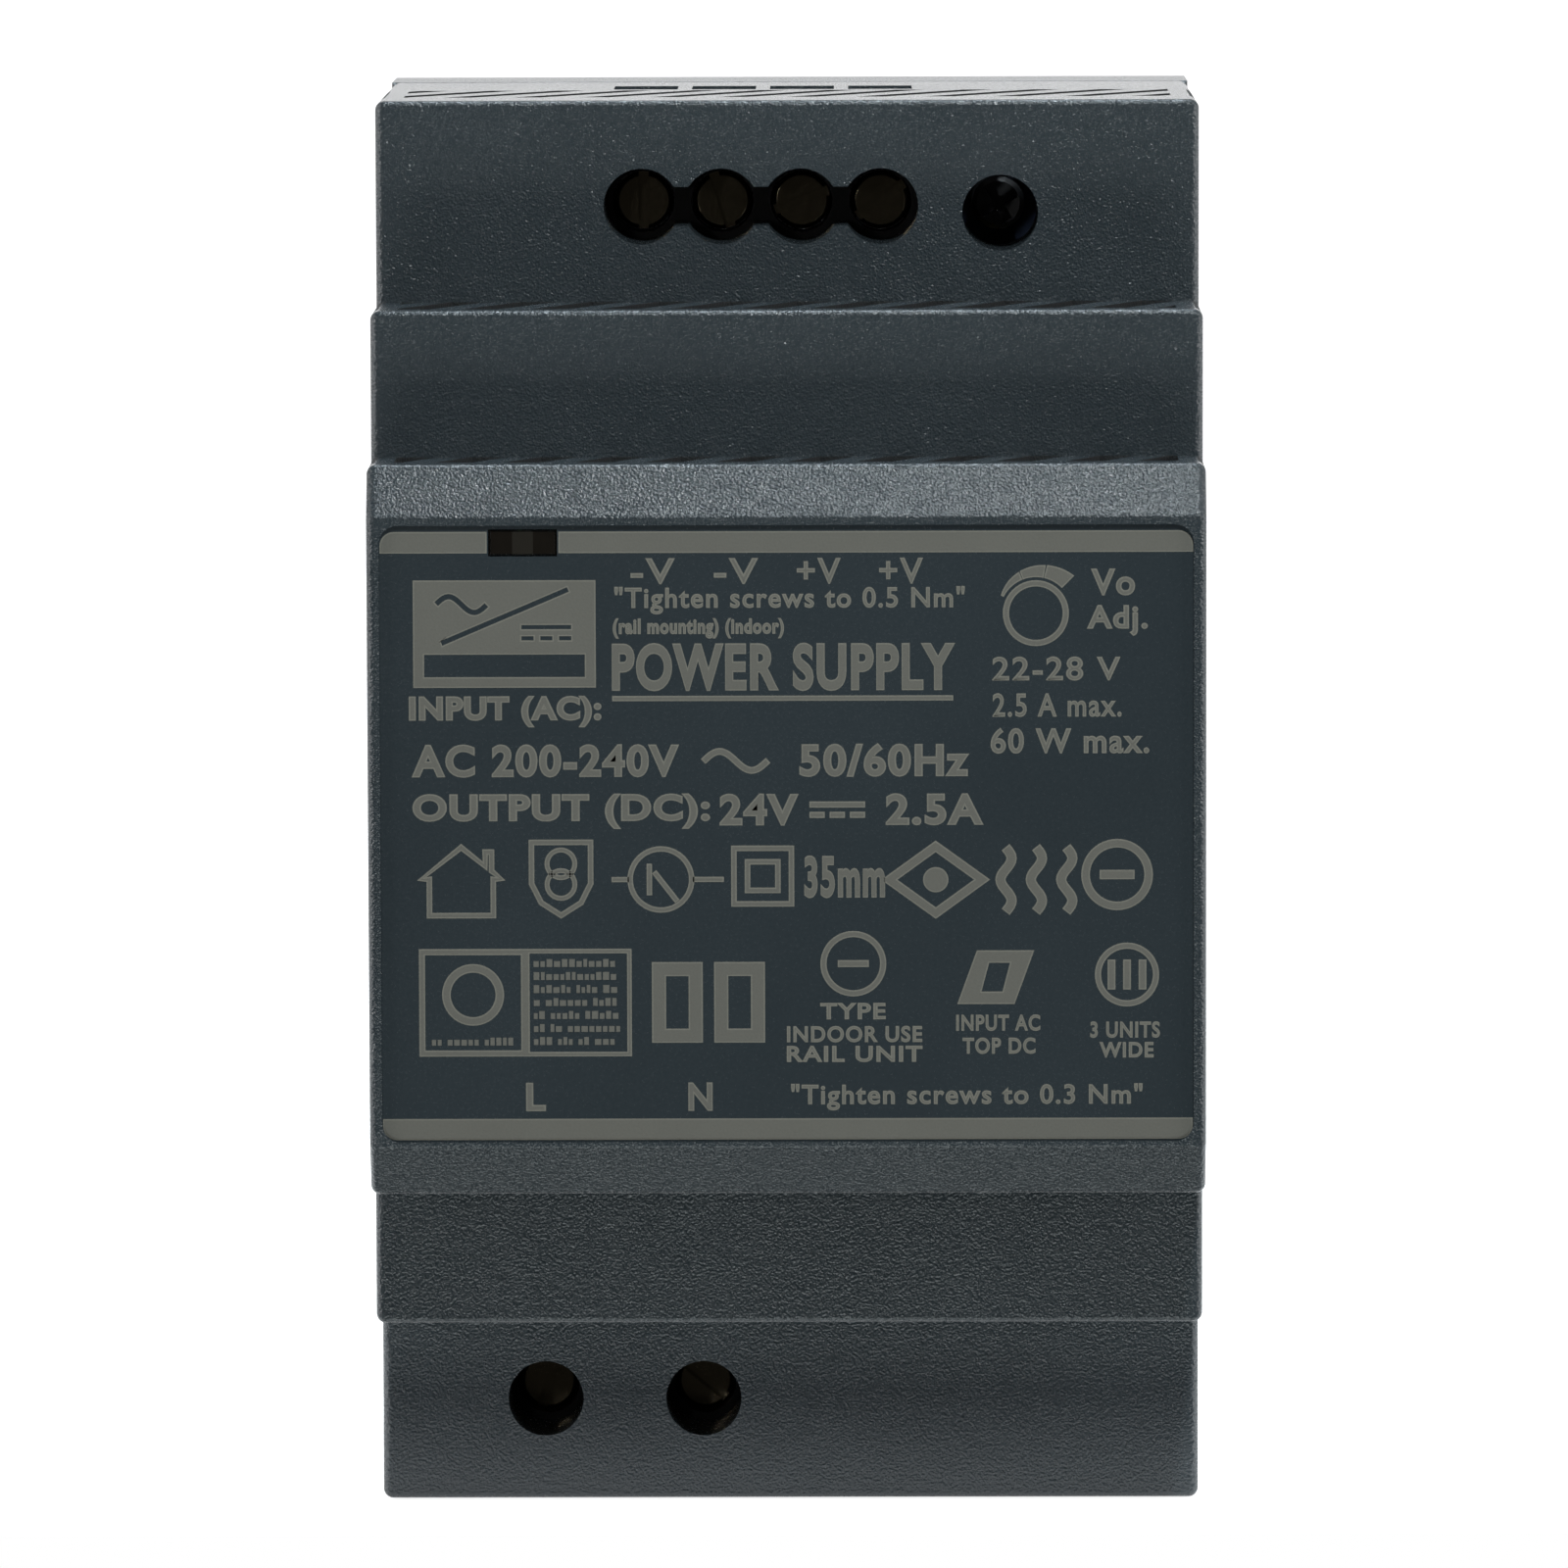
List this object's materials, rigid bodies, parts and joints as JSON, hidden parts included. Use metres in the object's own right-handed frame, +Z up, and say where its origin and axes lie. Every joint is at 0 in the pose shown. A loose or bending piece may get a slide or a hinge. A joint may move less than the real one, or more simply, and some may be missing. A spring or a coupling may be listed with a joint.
{
  "type": "din rail power supply",
  "caption": "Stepped plastic housing with a rear rail clip, screw terminals at top and bottom, slanted vents, a status lamp and an output trimmer.",
  "frame": {"origin": "centre of the flat that seats on the rail, halfway up and halfway across the housing", "axes": "+X to the right seen from the front, +Y back towards the rail and the wall, +Z up (output terminals at the top)"},
  "size_m": [0.0524, 0.0545, 0.09],
  "materials": {
    "shell_plastic": "moulded, fine spark-eroded grain",
    "base_plastic": "moulded, fine spark-eroded grain",
    "latch_plastic": "moulded, satin",
    "window_plastic": "smoked clear plastic, polished",
    "led_plastic": "diffused green",
    "terminal_plastic": "glass-filled nylon, satin",
    "black_moulding": "moulded epoxy",
    "spring_steel": "drawn wire",
    "screw_steel": "yellow passivated zinc plate",
    "clamp_steel": "bright zinc plate",
    "tinned_copper": "tin plate",
    "solder": "reflowed solder",
    "board_laminate": "green solder mask",
    "insulation_film": "pressed polyester film",
    "fuse_plastic": "moulded",
    "disc_coating_blue": "dipped epoxy",
    "disc_coating_grey": "dipped silicone",
    "box_capacitor": "potted box, yellow",
    "ferrite": "sintered ferrite",
    "core_coating": "powder coat",
    "winding_copper": "enamelled copper wire",
    "winding_tape": "polyester tape",
    "bobbin_plastic": "phenolic",
    "capacitor_sleeve": "shrunk sleeve over an aluminium can",
    "heat_sink_metal": "mill finish",
    "chip_ceramic": "thick film on ceramic",
    "trimmer_plastic": "moulded, blue",
    "rotor_plastic": "moulded, off-white"
  },
  "bodies": {
    "housing": {"bridge_rectifier": "black_moulding", "bulk_capacitor_left": "capacitor_sleeve", "bulk_capacitor_right": "capacitor_sleeve", "chip_parts": "chip_ceramic", "choke_base": "bobbin_plastic", "choke_core": "core_coating", "choke_windings": "winding_copper", "control_chip": "black_moulding", "front_shell": "shell_plastic", "fuse": "fuse_plastic", "heat_sink_screws": "clamp_steel", "indicator_led": "led_plastic", "inductor_core": "ferrite", "inductor_winding": "winding_copper", "input_contact_bars": "tinned_copper", "input_terminal_body": "terminal_plastic", "inrush_thermistor": "disc_coating_grey", "insulation_sheet": "insulation_film", "lamp_window": "window_plastic", "latch_spring": "spring_steel", "main_board": "board_laminate", "optocoupler": "black_moulding", "output_capacitor_1": "capacitor_sleeve", "output_capacitor_2": "capacitor_sleeve", "output_capacitor_3": "capacitor_sleeve", "output_contact_bars": "tinned_copper", "output_rectifier": "black_moulding", "output_terminal_body": "terminal_plastic", "primary_heat_sink": "heat_sink_metal", "primary_transistor": "black_moulding", "rear_base": "base_plastic", "riser_board": "board_laminate", "secondary_heat_sink": "heat_sink_metal", "solder_joints": "solder", "transformer_bobbin": "bobbin_plastic", "transformer_core": "ferrite", "transformer_winding": "winding_tape", "trimmer_body": "trimmer_plastic", "varistor": "disc_coating_blue", "x_capacitor": "box_capacitor", "y_capacitor": "disc_coating_blue"},
    "latch": {"rail_latch": "latch_plastic"},
    "trimmer": {"trimmer_rotor": "rotor_plastic"},
    "output_screw_1_body": {"output_screw_1": "screw_steel"},
    "output_clamp_1_body": {"output_clamp_1": "clamp_steel"},
    "output_screw_2_body": {"output_screw_2": "screw_steel"},
    "output_clamp_2_body": {"output_clamp_2": "clamp_steel"},
    "output_screw_3_body": {"output_screw_3": "screw_steel"},
    "output_clamp_3_body": {"output_clamp_3": "clamp_steel"},
    "output_screw_4_body": {"output_screw_4": "screw_steel"},
    "output_clamp_4_body": {"output_clamp_4": "clamp_steel"},
    "input_screw_1_body": {"input_screw_1": "screw_steel"},
    "input_clamp_1_body": {"input_clamp_1": "clamp_steel"},
    "input_screw_2_body": {"input_screw_2": "screw_steel"},
    "input_clamp_2_body": {"input_clamp_2": "clamp_steel"}
  },
  "joints": [
    {"name": "latch_slide", "type": "slide", "parent": "housing", "child": "latch", "axis": [0, 0, -1], "range_m": [0, 0.004], "stiffness_N_per_m": 500, "springref_m": -0.002, "deforming": ["latch_spring"]},
    {"name": "trimmer_turn", "type": "hinge", "parent": "housing", "child": "trimmer", "pos_m": [0.01358, 0, 0.0378], "axis": [0, 1, 0], "range_deg": [-130, 130]},
    {"name": "output_screw_1_turn", "type": "hinge", "parent": "housing", "child": "output_screw_1_body", "pos_m": [-0.00929, 0, 0.03824], "axis": [0, 1, 0], "range_deg": [0, 1872]},
    {"name": "output_clamp_1_rise", "type": "slide", "parent": "housing", "child": "output_clamp_1_body", "axis": [0, -1, 0], "range_m": [0, 0.0026]},
    {"name": "output_screw_2_turn", "type": "hinge", "parent": "housing", "child": "output_screw_2_body", "pos_m": [-0.00421, 0, 0.03824], "axis": [0, 1, 0], "range_deg": [0, 1872]},
    {"name": "output_clamp_2_rise", "type": "slide", "parent": "housing", "child": "output_clamp_2_body", "axis": [0, -1, 0], "range_m": [0, 0.0026]},
    {"name": "output_screw_3_turn", "type": "hinge", "parent": "housing", "child": "output_screw_3_body", "pos_m": [0.00087, 0, 0.03824], "axis": [0, 1, 0], "range_deg": [0, 1872]},
    {"name": "output_clamp_3_rise", "type": "slide", "parent": "housing", "child": "output_clamp_3_body", "axis": [0, -1, 0], "range_m": [0, 0.0026]},
    {"name": "output_screw_4_turn", "type": "hinge", "parent": "housing", "child": "output_screw_4_body", "pos_m": [0.00595, 0, 0.03824], "axis": [0, 1, 0], "range_deg": [0, 1872]},
    {"name": "output_clamp_4_rise", "type": "slide", "parent": "housing", "child": "output_clamp_4_body", "axis": [0, -1, 0], "range_m": [0, 0.0026]},
    {"name": "input_screw_1_turn", "type": "hinge", "parent": "housing", "child": "input_screw_1_body", "pos_m": [-0.01574, 0, -0.0385], "axis": [0, 1, 0], "range_deg": [0, 1872]},
    {"name": "input_clamp_1_rise", "type": "slide", "parent": "housing", "child": "input_clamp_1_body", "axis": [0, -1, 0], "range_m": [0, 0.0026]},
    {"name": "input_screw_2_turn", "type": "hinge", "parent": "housing", "child": "input_screw_2_body", "pos_m": [-0.00558, 0, -0.0385], "axis": [0, 1, 0], "range_deg": [0, 1872]},
    {"name": "input_clamp_2_rise", "type": "slide", "parent": "housing", "child": "input_clamp_2_body", "axis": [0, -1, 0], "range_m": [0, 0.0026]}
  ],
  "couplings": [
    {"joint": "output_screw_1_turn", "follows": "output_clamp_1_rise", "rad_per_m": 12566},
    {"joint": "output_screw_2_turn", "follows": "output_clamp_2_rise", "rad_per_m": 12566},
    {"joint": "output_screw_3_turn", "follows": "output_clamp_3_rise", "rad_per_m": 12566},
    {"joint": "output_screw_4_turn", "follows": "output_clamp_4_rise", "rad_per_m": 12566},
    {"joint": "input_screw_1_turn", "follows": "input_clamp_1_rise", "rad_per_m": 12566},
    {"joint": "input_screw_2_turn", "follows": "input_clamp_2_rise", "rad_per_m": 12566}
  ]
}
